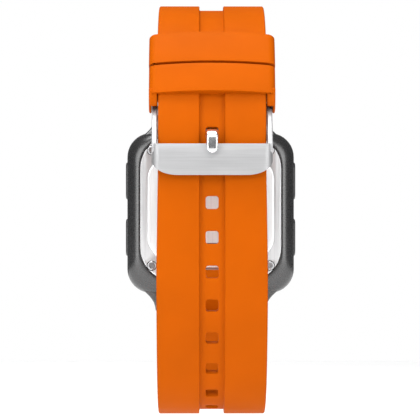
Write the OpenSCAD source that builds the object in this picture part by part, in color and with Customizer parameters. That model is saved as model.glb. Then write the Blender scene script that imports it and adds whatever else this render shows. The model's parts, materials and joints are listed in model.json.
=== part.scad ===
// Rectangular GPS running watch, buckled, with a two-piece silicone strap.
// Y = 0 is the flat raised face of the case back, -Y is the display side, +Z is twelve o'clock.

/* [Case] */
// Width of the case across its plain sides
case_w = 41.4; // [35:0.1:50]
// Height of the case between its lug shoulders
case_h = 39.8; // [34:0.1:48]
// Depth of the case from the raised back to the bezel face
case_t = 13.5; // [12.5:0.1:16]
// Radius of the case corners
case_r = 5.5; // [4.5:0.5:7]
// Thickness of the case walls beside the buttons
case_wall = 5.5; // [5:0.1:6]
// Thickness of the case wall behind each lug
end_wall = 2.9; // [2.6:0.1:3.5]
// Thickness of the case floor around the battery opening
floor_t = 1.2; // [1:0.1:1.6]

/* [Case back] */
// Margin between the case side and the edge of the back plate
plate_margin = 3.37; // [3:0.01:4]
// Thickness of the back plate
plate_t = 0.9; // [0.7:0.1:1.2]
// Height that the centre of the back plate stands proud
pad_t = 0.5; // [0.3:0.1:0.8]
// Margin between the plate edge and the raised centre
pad_margin = 1.8; // [1.5:0.1:2.2]
// How far the plate centre sits above the middle of the case
plate_rise = 1.25; // [0:0.05:1.5]
// Radius of the screw shanks
screw_r = 0.65; // [0.5:0.05:0.75]
// Radius of the screw heads
screw_head_r = 1.15; // [1:0.05:1.3]

/* [Buttons] */
// Length of each button along the case side
button_l = 9.3; // [7:0.1:11]
// Height of each button across the case side
button_h = 3.8; // [3:0.1:4.4]
// How far each button stands proud of the case
button_proud = 0.42; // [0.3:0.01:0.9]
// Distance between the button centres on one side
button_pitch = 14.1; // [12:0.1:15]
// Travel of each button
button_travel = 0.5; // [0.3:0.05:0.6]
// Radius of the button stems
stem_r = 0.8; // [0.6:0.05:0.95]

/* [Strap] */
// Width of the strap
strap_w = 24; // [20:0.1:29]
// Thickness of the half with the holes
tail_t = 2.7; // [2.2:0.1:3.3]
// Thickness of the half with the buckle
base_t = 2.9; // [2.6:0.1:3.5]
// Width of the channel along the outside of the strap
channel_w = 5.5; // [4.5:0.1:6.6]
// Depth of the channel
channel_d = 1; // [0.6:0.1:1.2]
// Side of each square strap hole
hole_w = 2.7; // [2.3:0.1:3.2]
// Distance between strap holes
hole_pitch = 7.5; // [6:0.1:9]
// Number of strap holes
hole_count = 10; // [8:1:10]
// Distance from the case back to the outside of the closed strap
loop_depth = 48; // [40:0.5:58]

/* [Keepers and buckle] */
// Length of the free keeper along the strap
keeper_l = 7.5; // [6:0.1:9]
// Wall of both keepers over the strap
keeper_wall = 1.2; // [1:0.05:1.5]
// Height of the buckle plate
plate_h = 6.7; // [5.5:0.1:8]
// Thickness of the buckle plate
buckle_t = 1.5; // [1.2:0.1:1.8]
// Thickness of the buckle arms
arm_t = 1.15; // [1:0.05:1.4]
// Width of the tongue
tongue_w = 2.4; // [2:0.1:2.6]
// Thickness of the tongue
tongue_t = 1.3; // [1:0.1:1.5]

/* [Spring bars] */
// Radius of the spring bar tubes
bar_r = 0.9; // [0.8:0.05:1.05]
// Travel of each plunger
plunger_travel = 1.2; // [1:0.1:1.3]

/* [Hidden] */
$fn = 48;
eps = 0.01;          // overlap that makes two cut shapes run cleanly through
deg = 180 / PI;      // degrees in one radian
bend_step = 4;       // degrees between neighbouring stations along a bent strap

// Clearances
run_fit = 0.05;      // radial gap of a pin that turns or slides in its bore
slide_fit = 0.2;     // gap around a button cap and beside a moving arm
seat_fit = 0.1;      // gap around a piece dropped into its seat
keeper_fit = 0.25;   // gap between a keeper and the strap inside it
lap_gap = 0.2;       // gap between the two strap halves where they lap

// Case levels, as depths from the raised back towards the display
plate_d = pad_t;                      // outer face of the back plate's rim
seat_d = pad_t + plate_t;             // seat that the plate rests on
floor_d = seat_d + floor_t;           // inner side of the case floor
bezel_t = 2.45;
body_d = case_t - bezel_t;            // front edge of the case body
lens_t = 1.2;
lens_sink = 0.2;                      // how far the lens sits below the bezel face
lens_gasket_t = 0.2;
ledge_d = case_t - lens_sink - lens_t - lens_gasket_t;
chamfer_w = 1.5;                      // light chamfer around the back, across the side
side_d = 4;                           // depth at which the case side is full width
mid_d = 1.9;                          // depth at which the chamfer ends
button_d = (side_d + body_d) / 2 - 0.1;

// Case outline
lug_wall = 1.95;
lug_gap = 0.15;                       // gap between the strap end and each lug
lug_x = strap_w / 2 + lug_gap;        // inner face of a lug
lug_out_x = lug_x + lug_wall;
lug_blend_r = 2.6;
bar_z = case_h / 2 + 1.1;             // height of the lug bars
bar_d = 6.8;                          // depth of the lug bars
lug_end_r = 3.4;                      // rounding of the lug ends around the bar
barrel_r = 2.3;                       // thickened strap end around a lug bar

// Back plate
plate_hw = case_w / 2 - plate_margin;
plate_hh = case_h / 2 - 1.9;
plate_r = 6;
pad_hw = plate_hw - pad_margin;
pad_hh = plate_hh - 0.85;
pad_cut = [5.6, 8.5];                 // corner cut of the raised centre, which leaves room for the screws
pad_short = 2.3;                      // how far its lower edge stops short, clear of the strap's tab
screw_x = plate_hw - 2.83;
screw_z = plate_hh - 3.8;
screw_head_t = 0.5;
screw_l = 4;
boss_r = 2.1;
boss_d = 5.4;                         // depth at which the screw bosses end
gasket_inset = 0.9;                   // from the raised centre's outline to the gasket
gasket_w = 1;
gasket_t = 0.7;
opening_inset = gasket_inset + gasket_w + 0.7;

// Cavity and what is in it
cavity_hw = case_w / 2 - case_wall;
cavity_hh = case_h / 2 - end_wall;
cavity_r = 3;
board_d = 5.6;
board_t = 0.8;
board_top_d = board_d + board_t;
board_hw = cavity_hw - 2.2;
board_hh = cavity_hh - 2.5;
lcd_hw = board_hw;
lcd_hh = 10.6;
lcd_z = -1.5;
lcd_r = 0.6;
lcd_t = 1.6;
lcd_d = body_d + 0.45 - lcd_t;
light_t = 0.55;
frame_t = 1.8;
antenna_w = 11;
antenna_t = 2.4;
antenna_z = board_hh - antenna_w / 2 + 1.4;
contact_r = 0.8;
contact_pitch = 2.5;
contact_z = -9;

// Buttons
button_xs = case_w / 2 + button_proud;   // outer face of a cap
cap_t = 2.5;
recess_x = button_xs - cap_t - button_travel - slide_fit;
bore_end_x = cavity_hw;
spring_seat_x = recess_x - 0.9;
seal_x = bore_end_x + 0.9;
seal_t = 0.7;
clip_t = 0.4;
stem_end_x = bore_end_x - 1.3;
spring_r = stem_r + 0.42;
spring_wire_r = 0.14;
switch_w = 1.9;

// Route of the closed strap, as [Y, Z] centres and the radius of the outer face
tail_y = loop_depth;
back_r = 50;                          // bend over the buckle
lower_r = 57.5;                       // bend below the straight run
top_turn = 22;                        // angle at which the upper lap tightens into the top bend
bottom_turn = 26;
bottom_r = 18.65;
lug_face_y = -(bar_d + 1.6);          // outer face of the strap at a lug
back_top_z = bar_z - 6.7;             // ends of the straight run at the back
back_bottom_z = -(bar_z - 11);
back_y = tail_y - back_r;
upper_c = [back_y, back_top_z];
lap_d = tail_t + lap_gap;             // step from the tail's outer face to the base's
base_back_r = back_r - lap_d;
base_r = (back_y + base_back_r * cos(top_turn) - lug_face_y) / (1 + cos(top_turn));
tail_top_r = base_r + lap_d;
top_c = upper_c + (back_r - tail_top_r) * [cos(top_turn), sin(top_turn)];
lower_c = [tail_y - lower_r, back_bottom_z];
bottom_c = lower_c + (lower_r - bottom_r) * [cos(bottom_turn), -sin(bottom_turn)];
heel_r = bottom_c[0] + bar_d + 2.45;
heel_c = [bottom_c[0], bottom_c[1] + heel_r - bottom_r];
heel_end = 180 - asin((bar_z + heel_c[1]) / heel_r);
neck_w = strap_w - 0.7;               // width of both halves where they pass the buckle
tip_turn = 36.5;                      // angle at which the tail ends
pin_turn = 10.9;                      // angle of the buckle's bar, where the base ends
tab_gap = 0.3;                        // gap between the lower strap root's tab and the case back
tab_t = 1.5;
tab_hw = strap_w / 2 - 2;
tip_place = [[top_c[0] + tail_top_r * cos(tip_turn), top_c[1] + tail_top_r * sin(tip_turn), tip_turn]];
tail_places = concat(tip_place, bend_places(top_c, tail_top_r, tip_turn, top_turn),
    bend_places(upper_c, back_r, top_turn, 0), [[tail_y, back_bottom_z, 0]],
    bend_places(lower_c, lower_r, 0, -bottom_turn), bend_places(bottom_c, bottom_r, -bottom_turn, -90),
    bend_places(heel_c, heel_r, -90, -heel_end));
base_places = concat([concat(upper_c + base_back_r * [cos(pin_turn), sin(pin_turn)], pin_turn)],
    bend_places(upper_c, base_back_r, pin_turn, top_turn), bend_places(top_c, base_r, top_turn, 180),
    [[lug_face_y, bar_z, 180]]);
straight_l = back_top_z - back_bottom_z;
bottom_l = lower_r * bottom_turn / deg;

// Buckle
pin = upper_c + (base_back_r - base_t / 2) * [cos(pin_turn), sin(pin_turn)];
first_hole_s = -(straight_l + back_r * 3.5 / deg);
arm_x = neck_w / 2 + slide_fit;
buckle_hw = arm_x + arm_t;
plate_y = tail_y + 0.2;               // inner face of the buckle plate
plate_top_z = pin[1] - 8;
eye_r = 1.5;
tongue_bend = 0.6;                    // inside radius of the tongue's bends
cross_z = pin[1] - 5.6;               // height at which the tongue passes through the strap
tip_z = pin[1] - 10;
tongue_y = plate_y + buckle_t + run_fit;

// Keepers
keeper_side = 1.4;
keeper_start = top_turn - 1.1;
keeper_turn = keeper_l / (tail_top_r + 1.4) * deg;
fixed_start = 13.6;
fixed_end = top_turn - 1.3;
fixed_hw = buckle_hw + 0.15 + 0.5;    // the fixed keeper covers the buckle arms and a thin cheek
cheek_x = buckle_hw + 0.15;

// Spring bars
bore_r = bar_r + 0.07;
tube_bore_r = bar_r - 0.3;
plunger_r = tube_bore_r - run_fit;
point_r = 0.42;
flange_t = 0.45;
bar_spring_r = plunger_r - 0.17;
bar_wire_r = 0.1;

// ---- Helpers ----

// A flat outline in X and Z, made solid between two depths
module slab(d0, d1) {
    translate([0, -d0, 0]) rotate([90, 0, 0]) linear_extrude(d1 - d0) children();
}

// A flat outline in Y and Z, made solid between two X values
module across(x0, x1) {
    translate([x0, 0, 0]) rotate([90, 0, 90]) linear_extrude(x1 - x0) children();
}

module rounded(w, h, r) {
    square([w - 2 * r, h], center = true);
    square([w, h - 2 * r], center = true);
    for (sx = [-1, 1], sz = [-1, 1])
        translate([sx * (w / 2 - r), sz * (h / 2 - r)]) circle(r);
}

// A round bar along X, from x0 to x1, at a place in Y and Z
module rod(r, x0, x1, at) {
    translate([x0, at[0], at[1]]) rotate([0, 90, 0]) cylinder(r = r, h = x1 - x0);
}

module mirror_x() {
    children();
    mirror([1, 0, 0]) children();
}

// The raised centre's eight-sided outline, moved inwards by d with its sides parallel and its foot kept level
module back_outline(d) {
    l = norm(pad_cut);
    k = 1 - d * (pad_cut[0] + pad_cut[1] - l) / (pad_cut[0] * pad_cut[1]);
    w = pad_hw - d;
    h = pad_hh - d;
    c = k * pad_cut;
    foot = w - c[0] * (1 - pad_short / c[1]);
    translate([0, plate_rise])
        polygon([[w, h - c[1]], [w - c[0], h], [c[0] - w, h], [-w, h - c[1]],
            [-w, c[1] - h], [-foot, pad_short - h], [foot, pad_short - h], [w, c[1] - h]]);
}

module screw_places() {
    for (sx = [-1, 1], sz = [-1, 1]) translate([sx * screw_x, plate_rise + sz * screw_z]) children();
}

// A cross-section carried round a centre in Y and Z
module bend(c, r, a0, a1) {
    translate([0, c[0], c[1]]) rotate([90, 0, 90]) rotate([0, 0, a0])
        rotate_extrude(angle = a1 - a0, $fn = 180) translate([r, 0]) children();
}

// A rectangle for the keepers, from x0 to x1 outwards and w across, with eased corners
module hoop(x0, x1, w, e) {
    h = w / 2;
    polygon([[x0, e - h], [x0 + e, -h], [x1 - e, -h], [x1, e - h],
        [x1, h - e], [x1 - e, h], [x0 + e, h], [x0, h - e]]);
}

// Place and outward angle on the strap's outer face, s along the back from the end of the straight run
function strap_place(s) =
    s < -straight_l ? let (a = (-straight_l - s) / back_r * deg)
        [upper_c[0] + back_r * cos(a), upper_c[1] + back_r * sin(a), a] :
    s < 0 ? [tail_y, back_bottom_z - s, 0] :
    s < bottom_l ? let (a = -s / lower_r * deg)
        [lower_c[0] + lower_r * cos(a), lower_c[1] + lower_r * sin(a), a] :
    let (a = -bottom_turn - (s - bottom_l) / bottom_r * deg)
        [bottom_c[0] + bottom_r * cos(a), bottom_c[1] + bottom_r * sin(a), a];

// Stations along a bend, each [Y, Z, outward angle], without the first one
function bend_places(c, r, a0, a1) =
    let (n = ceil(abs(a1 - a0) / bend_step))
    [for (i = [1:n]) let (a = a0 + (a1 - a0) * i / n) [c[0] + r * cos(a), c[1] + r * sin(a), a]];

function moved(p, v) = [p[0] + v * cos(p[2]), p[1] + v * sin(p[2])];

// The closed strap's side view between two levels above its outer face
function side_view(places, v0, v1) =
    concat([for (p = places) moved(p, v1)], [for (i = [len(places) - 1:-1:0]) moved(places[i], v0)]);

module ribbon(places, v0, v1, w) {
    across(-w / 2, w / 2) polygon(side_view(places, v0, v1));
}

// ---- Case ----

module case_outline() {
    rounded(case_w, case_h, case_r);
    square([2 * lug_out_x, 2 * (bar_z + lug_end_r)], center = true);
    for (sx = [-1, 1], sz = [-1, 1]) scale([sx, sz]) translate([lug_out_x, case_h / 2 - 1.3])
        difference() {
            square(lug_blend_r + 1);
            translate([lug_blend_r, lug_blend_r + 1]) circle(lug_blend_r);
            translate([lug_blend_r, -1]) square(lug_blend_r + 3);
        }
}

// Side view of the case between its lugs, in Y and Z
module case_profile() {
    translate([-body_d, -case_h / 2]) square([body_d - side_d + 1, case_h]);
    for (s = [-1, 1]) translate([-bar_d, s * bar_z]) circle(lug_end_r);
    translate([-bar_d - lug_end_r, -bar_z]) square([2 * lug_end_r, 2 * bar_z]);
}

module case_shell() {
    intersection() {
        slab(bar_d - lug_end_r - 1, body_d) case_outline();
        across(-case_w, case_w) case_profile();
    }
    hull() {
        slab(plate_d + 0.1, plate_d + 0.2)
            translate([0, 0.5]) rounded(2 * plate_hw + 1.1, 2 * plate_hh + 2.4, plate_r + 0.4);
        slab(mid_d, mid_d + 0.1) rounded(case_w - 2 * chamfer_w, case_h - chamfer_w, case_r - 0.6);
        slab(side_d, side_d + 1) rounded(case_w, case_h, case_r);
    }
}

module button_places(sides) {
    for (s = sides) mirror([s < 0 ? 1 : 0, 0, 0])
        for (z = [-1, 1]) translate([0, -button_d, 0.95 + z * button_pitch / 2]) children();
}

// A button outline in Y and Z, grown by g
module button_outline(g) {
    rounded(button_h + 2 * g, button_l + 2 * g, button_h / 2 - 0.3 + g);
}

module case_body() {
    color([0.2, 0.21, 0.22]) difference() {
        case_shell();
        slab(floor_d, body_d + 1) rounded(2 * cavity_hw, 2 * cavity_hh, cavity_r);
        slab(-1, seat_d) translate([0, plate_rise])
            rounded(2 * (plate_hw + seat_fit), 2 * (plate_hh + seat_fit), plate_r + seat_fit);
        slab(0, floor_d + 1) back_outline(opening_inset);
        slab(seat_d - eps, seat_d + gasket_t) difference() {
            back_outline(gasket_inset);
            back_outline(gasket_inset + gasket_w);
        }
        slab(seat_d - eps, boss_d - 0.4) screw_places() circle(screw_r + run_fit);
        for (s = [-1, 1]) {
            rod(barrel_r + 0.3, -lug_x, lug_x, [-bar_d, s * bar_z]);
            translate([-lug_x, -body_d - 1, s > 0 ? bar_z : -bar_z - 9])
                cube([2 * lug_x, body_d + 1, 9]);
            rod(point_r + run_fit, -lug_out_x + 0.5, lug_out_x - 0.5, [-bar_d, s * bar_z]);
        }
        button_places([-1, 1]) {
            across(recess_x, case_w) button_outline(slide_fit);
            rod(stem_r + run_fit, bore_end_x - 1, case_w / 2, [0, 0]);
            rod(spring_r + spring_wire_r + 0.15, spring_seat_x, recess_x + eps, [0, 0]);
            rod(stem_r + seal_t, seal_x - seal_t / 2 - 0.02, seal_x + seal_t / 2 + 0.02, [0, 0]);
        }
    }
    color([0.2, 0.21, 0.22]) difference() {
        intersection() {
            slab(floor_d - eps, boss_d) screw_places() circle(boss_r);
            slab(0, body_d) rounded(2 * cavity_hw + 1, 2 * cavity_hh + 1, cavity_r);
        }
        slab(seat_d - eps, boss_d - 0.4) screw_places() circle(screw_r + run_fit);
    }
}

module top_bezel() {
    window_w = 2 * lcd_hw - 1;
    window_h = 2 * lcd_hh - 1;
    color([0.08, 0.08, 0.09]) difference() {
        hull() {
            slab(body_d, body_d + 0.1) rounded(case_w, case_h, case_r);
            slab(case_t - 0.9, case_t - 0.8) rounded(case_w - 1.2, case_h - 1.2, case_r - 0.6);
            slab(case_t - 0.1, case_t) rounded(case_w - 4.4, case_h - 4.4, case_r - 2);
        }
        slab(ledge_d, case_t + 1) lens_outline(seat_fit);
        slab(body_d - 1, case_t) translate([0, lcd_z]) rounded(window_w, window_h, 1.5);
        slab(body_d - 1, lcd_d + lcd_t + seat_fit) translate([0, lcd_z])
            rounded(2 * (lcd_hw + seat_fit), 2 * (lcd_hh + seat_fit), lcd_r + seat_fit);
    }
}

module lens_outline(g) {
    rounded(case_w - 7 + 2 * g, case_h - 7 + 2 * g, case_r - 3 + g);
}

module lens() {
    color([0.1, 0.12, 0.14, 0.5]) slab(case_t - lens_sink - lens_t, case_t - lens_sink) lens_outline(0);
}

module lens_gasket() {
    color([0.05, 0.05, 0.05]) slab(ledge_d, ledge_d + lens_gasket_t) difference() {
        lens_outline(0);
        translate([0, lcd_z]) rounded(2 * lcd_hw, 2 * lcd_hh, 1.5);
    }
}

// ---- Display and electronics ----

module lcd_display() {
    color([0.55, 0.6, 0.52]) slab(lcd_d, lcd_d + lcd_t) translate([0, lcd_z])
        rounded(2 * lcd_hw, 2 * lcd_hh, lcd_r);
}

module backlight() {
    color([0.9, 0.92, 0.9]) slab(lcd_d - light_t, lcd_d) translate([0, lcd_z])
        rounded(2 * lcd_hw - 0.4, 2 * lcd_hh - 0.4, lcd_r);
}

module display_frame() {
    frame_hw = cavity_hw - 0.3;
    frame_hh = cavity_hh - 0.3;
    post = 2;
    color([0.85, 0.85, 0.82]) {
        slab(body_d - frame_t, body_d) difference() {
            rounded(2 * frame_hw, 2 * frame_hh, cavity_r);
            translate([0, lcd_z]) rounded(2 * (lcd_hw + seat_fit), 2 * (lcd_hh + seat_fit), 0.7);
            translate([0, antenna_z]) square(antenna_w + 1, center = true);
        }
        slab(board_top_d, body_d - frame_t + 0.1) for (sx = [-1, 1], sz = [-1, 1])
            translate([sx * (board_hw - post), sz * (board_hh - post / 2)]) square(post, center = true);
    }
}

module display_flex() {
    flex_t = 0.15;
    y0 = -lcd_d + light_t + flex_t;
    y1 = -board_top_d;
    z0 = lcd_z - lcd_hh + 1.5;
    z1 = -board_hh + 1.2;
    color([0.75, 0.5, 0.15]) across(-5, 5) polygon([[y0, z0], [y0, z0 - 0.2], [y1, z1 + 0.2], [y1, z1 - 1],
        [y1 - flex_t, z1 - 1], [y1 - flex_t, z1], [y0 - flex_t, z0 - 0.6], [y0 - flex_t, z0]]);
}

module main_board() {
    color([0.05, 0.3, 0.15]) slab(board_d, board_top_d) difference() {
        rounded(2 * board_hw, 2 * board_hh, 2);
        for (sx = [-1, 1]) translate([sx * (board_hw - 1.2), -board_hh + 4]) circle(0.7);
    }
}

module gps_antenna() {
    color([0.85, 0.8, 0.7]) slab(board_top_d, board_top_d + antenna_t) translate([0, antenna_z])
        square(antenna_w, center = true);
}

module shield_can() {
    color([0.75, 0.75, 0.77]) difference() {
        slab(board_top_d, board_top_d + 1.5) translate([-4.5, -1]) rounded(9, 9, 0.5);
        slab(board_top_d - 1, board_top_d + 1.3) translate([-4.5, -1]) rounded(8.6, 8.6, 0.4);
    }
}

module processor() {
    color([0.1, 0.1, 0.1]) slab(board_top_d, board_top_d + 0.9) translate([5, -1]) square(6.5, center = true);
}

module battery() {
    color([0.7, 0.72, 0.75]) slab(seat_d + 0.7, board_d - 0.3) translate([0, plate_rise - 0.5])
        rounded(2 * (pad_hw - opening_inset - 3.2), 2 * (pad_hh - opening_inset - 3.4), 1.5);
}

module buzzer() {
    color([0.8, 0.65, 0.3]) slab(seat_d, seat_d + 0.4) translate([0, plate_rise + 5]) circle(6.5);
}

// ---- Case back ----

module case_back() {
    color([0.78, 0.79, 0.8]) difference() {
        union() {
            slab(plate_d, seat_d) translate([0, plate_rise]) rounded(2 * plate_hw, 2 * plate_hh, plate_r);
            slab(0, plate_d + 0.1) back_outline(0);
        }
        slab(-1, plate_d + screw_head_t) screw_places() circle(screw_head_r + seat_fit);
        slab(-1, seat_d + 1) screw_places() circle(screw_r + seat_fit);
        slab(-1, seat_d + 1) contact_outline(seat_fit / 2);
    }
}

module case_back_gasket() {
    color([0.06, 0.06, 0.06]) slab(seat_d, seat_d + gasket_t) difference() {
        back_outline(gasket_inset + 0.05);
        back_outline(gasket_inset + gasket_w - 0.05);
    }
}

module case_back_screws() {
    color([0.6, 0.6, 0.62]) difference() {
        union() {
            slab(plate_d, plate_d + screw_head_t) screw_places() circle(screw_head_r);
            slab(plate_d + screw_head_t / 2, plate_d + screw_l) screw_places() circle(screw_r);
        }
        slab(plate_d - 1, plate_d + 0.3) screw_places() {
            square([1.5, 0.35], center = true);
            square([0.35, 1.5], center = true);
        }
    }
}

module contact_outline(g) {
    translate([0, contact_z]) rounded(3 * contact_pitch + 3.2 + 2 * g, 3.2 + 2 * g, 1 + g);
}

module contact_places() {
    for (i = [-1.5:1:1.5]) translate([i * contact_pitch, contact_z]) children();
}

module contact_insulator() {
    color([0.07, 0.07, 0.07]) slab(0.05, seat_d) difference() {
        contact_outline(0);
        contact_places() circle(contact_r);
    }
}

module charging_contacts() {
    color([0.85, 0.68, 0.3]) slab(0.1, seat_d + 0.3) contact_places() circle(contact_r);
}

// ---- Buttons ----

module at_button(sx, sz) {
    mirror([sx < 0 ? 1 : 0, 0, 0]) translate([0, -button_d, 0.95 + sz * button_pitch / 2]) children();
}

module button(sx, sz) {
    color([0.16, 0.17, 0.18]) at_button(sx, sz) difference() {
        union() {
            across(button_xs - cap_t, button_xs - 0.4) button_outline(0);
            across(button_xs - 0.5, button_xs) button_outline(-0.3);
            rod(stem_r, stem_end_x, button_xs - cap_t + 0.1, [0, 0]);
        }
        difference() {
            rod(stem_r + 1, bore_end_x - run_fit - clip_t, bore_end_x - run_fit, [0, 0]);
            rod(stem_r - 0.25, 0, case_w, [0, 0]);
        }
    }
}

module button_clip(sx, sz) {
    color([0.65, 0.65, 0.67]) at_button(sx, sz) difference() {
        rod(stem_r + 0.75, bore_end_x - run_fit - clip_t + 0.03, bore_end_x - run_fit - 0.03, [0, 0]);
        rod(stem_r - 0.23, 0, case_w, [0, 0]);
        translate([0, -stem_r - 1, -stem_r / 2]) cube([case_w, stem_r + 1, stem_r]);
    }
}

module coil(mean_r, wire_r, l, turns) {
    linear_extrude(l, twist = -360 * turns, slices = 12 * turns, $fn = 6)
        translate([mean_r, 0]) circle(wire_r, $fn = 6);
}

module button_spring(sx, sz) {
    gap = run_fit;
    color([0.7, 0.7, 0.72]) at_button(sx, sz)
        translate([spring_seat_x + gap, 0, 0]) rotate([0, 90, 0])
            coil(spring_r, spring_wire_r, button_xs - cap_t - spring_seat_x - 2 * gap, 3);
}

module button_seals() {
    ring_r = 0.26;
    color([0.05, 0.05, 0.05]) button_places([-1, 1]) translate([seal_x, 0, 0]) rotate([0, 90, 0])
        rotate_extrude() translate([stem_r + ring_r + 0.03, 0]) circle(ring_r, $fn = 24);
}

module tact_switches() {
    color([0.3, 0.3, 0.32]) button_places([-1, 1]) {
        reach = stem_end_x - button_travel - 0.1;
        translate([reach - 0.4 - switch_w, button_d - board_top_d - 1.7, -1.8]) cube([switch_w, 1.7, 3.6]);
        rod(0.45, reach - 0.5, reach, [0, 0]);
    }
}

// ---- Strap ----

module neck_cuts() {
    taper_z = back_bottom_z;
    full_z = plate_top_z - plate_h - 0.5;
    mirror_x() translate([0, tail_y + 3, 0]) rotate([90, 0, 0]) linear_extrude(tail_t + 8)
        polygon([[strap_w / 2, taper_z], [neck_w / 2, full_z], [neck_w / 2, pin[1] + 14],
            [strap_w, pin[1] + 14], [strap_w, taper_z]]);
}

// The base narrows as soon as it is inside the fixed keeper
module base_neck_cuts() {
    mirror_x() translate([neck_w / 2, 0, pin[1] - 5])
        cube([strap_w, tail_y + 3, upper_c[1] + back_r * sin(fixed_start) + 2 - pin[1] + 5]);
}

module strap_hole() {
    rotate([0, 90, 0]) translate([0, 0, -tail_t - 1]) linear_extrude(tail_t + 2)
        rounded(hole_w, hole_w, 0.55);
}

// The rounded end of the tail, seen square to its outer face
module tip_cut() {
    a = tip_turn - 9;
    l = 2 * (tail_top_r * 9 / deg);
    r = 7;
    translate([0, top_c[0], top_c[1]]) rotate([a, 0, 0]) translate([0, tail_top_r - tail_t - 1, 0])
        rotate([-90, 0, 0]) linear_extrude(tail_t + 3) difference() {
            square([strap_w + 2, l + 4], center = true);
            translate([0, l]) rounded(neck_w + 0.1, 3 * l, r);
        }
}

// The tab at the lower strap root, which covers the case's edge up to the raised centre of its back
module root_tab() {
    tip_z = plate_rise - pad_hh + pad_short - tab_gap;
    under_y = tab_gap - plate_d;
    over_y = under_y + tab_t;
    root = [for (a = [9, 2]) heel_c + (heel_r - 0.6 * tail_t) * [cos(heel_end - a), -sin(heel_end - a)]];
    shoulder_y = lug_end_r - bar_d + 0.35;   // where the tab meets the thickened strap end
    edge_z = -case_h / 2;
    full_z = tip_z - 3;                      // the tab is full thickness down to here
    across(-tab_hw, tab_hw) polygon([[under_y, tip_z], [over_y, tip_z], [over_y, full_z], [under_y, -bar_z],
        root[0], root[1], [shoulder_y, -bar_z - 0.4], [shoulder_y, edge_z - 0.1],
        [-1.6, edge_z + 0.45], [under_y, edge_z + 0.9]]);
}

module strap_hole_side() {
    color([0.89, 0.37, 0.02]) difference() {
        union() {
            ribbon(tail_places, -tail_t, 0, strap_w);
            root_tab();
            rod(barrel_r, -strap_w / 2, strap_w / 2, [-bar_d, -bar_z]);
        }
        ribbon(tail_places, -channel_d, 1, channel_w);
        neck_cuts();
        tip_cut();
        for (i = [0:hole_count - 1]) let (p = strap_place(first_hole_s + i * hole_pitch))
            translate([0, p[0], p[1]]) rotate([p[2], 0, 0]) rotate([0, 0, 90]) strap_hole();
        rod(bore_r, -strap_w, strap_w, [-bar_d, -bar_z]);
    }
}

module fixed_keeper() {
    inside = lap_d + base_t + 0.3;
    top = keeper_fit + keeper_wall;
    start = upper_c + back_r * [cos(fixed_start), sin(fixed_start)];
    places = concat([concat(start, fixed_start)], bend_places(upper_c, back_r, fixed_start, fixed_end));
    difference() {
        ribbon(places, -inside, top, 2 * fixed_hw);
        ribbon(concat([concat(start - [0.1, 1], fixed_start)], places, [concat(top_c + (tail_top_r) *
            [cos(top_turn + 2), sin(top_turn + 2)], top_turn + 2)]),
            -lap_d, keeper_fit, neck_w + 2 * slide_fit);
    }
}

// Ears that run down from the fixed keeper and cover the buckle's eyes
module ears() {
    top = upper_c + (back_r + 1) * [cos(fixed_start + 1), sin(fixed_start + 1)];
    mirror_x() difference() {
        across(neck_w / 2 + slide_fit, fixed_hw)
            polygon([[pin[0] - 1.6, top[1]], [top[0], top[1]], [pin[0] + 3.6, pin[1] + 0.7],
                [pin[0] + 1.4, pin[1] - 1.5], [pin[0] - 1.1, pin[1] - 1.5], [pin[0] - 1.9, pin[1]]]);
        translate([0, pin[0] - 5, pin[1] - 5]) cube([cheek_x, 7.1, 7]);
        translate([0, pin[0] - 5, pin[1] - 5]) cube([cheek_x, 20, 5.7]);
    }
}

module strap_buckle_side() {
    color([0.91, 0.4, 0.03]) difference() {
        union() {
            difference() {
                ribbon(base_places, -base_t, 0, strap_w);
                ribbon(base_places, -channel_d, 1, channel_w);
                base_neck_cuts();
            }
            rod(base_t / 2, -neck_w / 2, neck_w / 2, pin);
            rod(barrel_r, -strap_w / 2, strap_w / 2, [-bar_d, bar_z]);
            fixed_keeper();
            ears();
        }
        translate([-tongue_w / 2 - slide_fit, pin[0] - 5, pin[1] - 3])
            cube([tongue_w + 2 * slide_fit, 7, eye_r + 3 + slide_fit]);
        rod(bore_r, -neck_w / 2 - 1, neck_w / 2 + 1, pin);
        rod(bore_r, -strap_w, strap_w, [-bar_d, bar_z]);
    }
}

module keeper_free() {
    inside = lap_d + base_t;
    hw = strap_w / 2 + keeper_fit + 0.05;
    color([0.93, 0.41, 0.04]) bend(top_c, tail_top_r, keeper_start, keeper_start + keeper_turn) difference() {
        hoop(-inside - keeper_fit - keeper_wall, keeper_fit + keeper_wall, 2 * (hw + keeper_side), 0.8);
        translate([-inside - keeper_fit, -hw]) square([inside + 2 * keeper_fit, 2 * hw]);
    }
}

// ---- Buckle ----

module buckle_frame() {
    out_y = plate_y + buckle_t;
    bottom_z = plate_top_z - plate_h;
    corner = 1.8;
    a = 32;                           // angle of the arm's upper edge where it leaves the eye
    e = 0.96 * eye_r * [cos(a), sin(a)];
    color([0.78, 0.78, 0.8]) difference() {
        intersection() {
            translate([0, 0, bottom_z - 1]) linear_extrude(pin[1] - bottom_z + 4) difference() {
                translate([0, out_y - 10]) rounded(2 * buckle_hw, 20, corner);
                translate([0, plate_y - 10]) rounded(2 * arm_x, 20, corner - arm_t);
            }
            union() {
                rod(eye_r, -strap_w, strap_w, pin);
                across(-strap_w, strap_w)
                    polygon([pin + e, [out_y, plate_top_z], [out_y, bottom_z], [plate_y, bottom_z],
                        [plate_y - 1.6, bottom_z + 2], pin - e]);
            }
            translate([0, out_y + 1, 0]) rotate([90, 0, 0]) linear_extrude(out_y + 1)
                translate([0, bottom_z + 10]) rounded(2 * buckle_hw, 20, 4);
        }
        translate([-arm_x, plate_y - 3, plate_top_z]) cube([2 * arm_x, buckle_t + 5, 10]);
        rod(point_r + run_fit, -strap_w, strap_w, pin);
    }
}

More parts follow.
